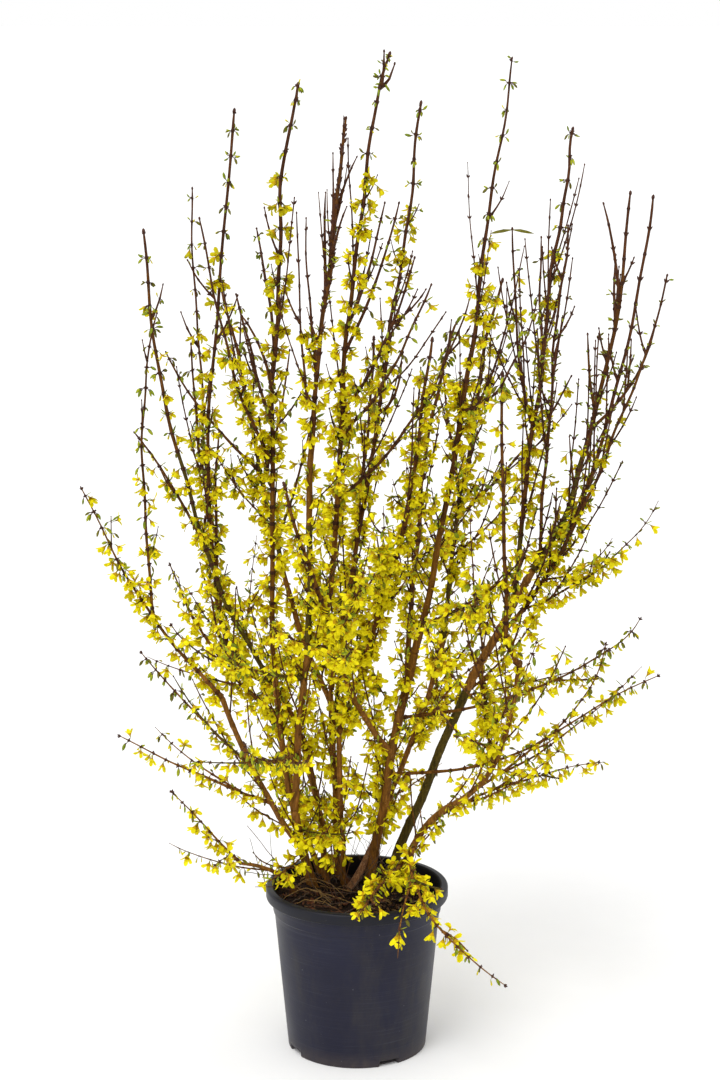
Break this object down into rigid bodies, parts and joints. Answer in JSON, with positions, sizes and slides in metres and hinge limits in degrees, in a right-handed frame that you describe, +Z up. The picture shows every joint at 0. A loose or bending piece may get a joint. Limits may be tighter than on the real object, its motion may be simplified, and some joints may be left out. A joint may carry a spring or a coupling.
{
  "type": "forsythia shrub in a nursery pot",
  "caption": "Multi-stemmed forsythia shrub in yellow flower, its canes fanning up and out from a dark tapered plastic nursery pot with a rolled lip.",
  "frame": {"origin": "centre of the pot's flat underside, on the floor that it stands on", "axes": "+Z up; the shrub is seen from the front looking along +Y, with +X to the right"},
  "size_m": [0.9223, 0.7792, 1.6451],
  "materials": {
    "pot_plastic": "moulded dark blue-black plastic, finely scuffed",
    "compost": "rough dark bark compost",
    "bark": "tan to purple-brown bark with pale pores",
    "blossom": "bright yellow petals on thin brown twigs"
  },
  "bodies": {
    "root": {"pot": "pot_plastic", "soil": "compost", "stem_left": "bark", "stem_centre_left": "bark", "bough_tall_left": "bark", "bough_left": "bark", "bough_centre_left": "bark", "bough_centre": "bark", "stem_rear_left": "bark", "stem_rear": "bark", "stem_inner": "bark", "stem_short": "bark", "stem_main": "bark", "bough_tall_right": "bark", "bough_front": "bark", "stem_right": "bark", "stem_low_right": "bark", "bough_low_right": "bark", "stem_low_left": "bark", "stem_back": "bark", "bough_back_left": "bark", "bough_back_right": "bark", "blossom_left_outer": "blossom", "blossom_left_low": "blossom", "blossom_left_middle": "blossom", "blossom_front_left": "blossom", "blossom_tall_left": "blossom", "blossom_upper_left": "blossom", "blossom_left_high": "blossom", "blossom_centre_left": "blossom", "blossom_crown": "blossom", "blossom_rear_tall": "blossom", "blossom_centre_right": "blossom", "blossom_inner_right": "blossom", "blossom_tall_right": "blossom", "blossom_front_inner": "blossom", "blossom_right_long": "blossom", "blossom_right_upright": "blossom", "blossom_right_outer": "blossom", "blossom_right_middle": "blossom", "blossom_right_under": "blossom", "blossom_right_low": "blossom", "blossom_right_switch": "blossom", "blossom_rim_left": "blossom", "blossom_rim_right": "blossom", "blossom_rim_front": "blossom", "blossom_front_middle": "blossom", "blossom_front_right": "blossom", "blossom_front_low": "blossom", "blossom_back_left": "blossom", "blossom_back_right": "blossom", "blossom_back_middle": "blossom", "blossom_back_low_left": "blossom", "blossom_back_low_right": "blossom", "blossom_rim_back": "blossom"}
  },
  "joints": []
}
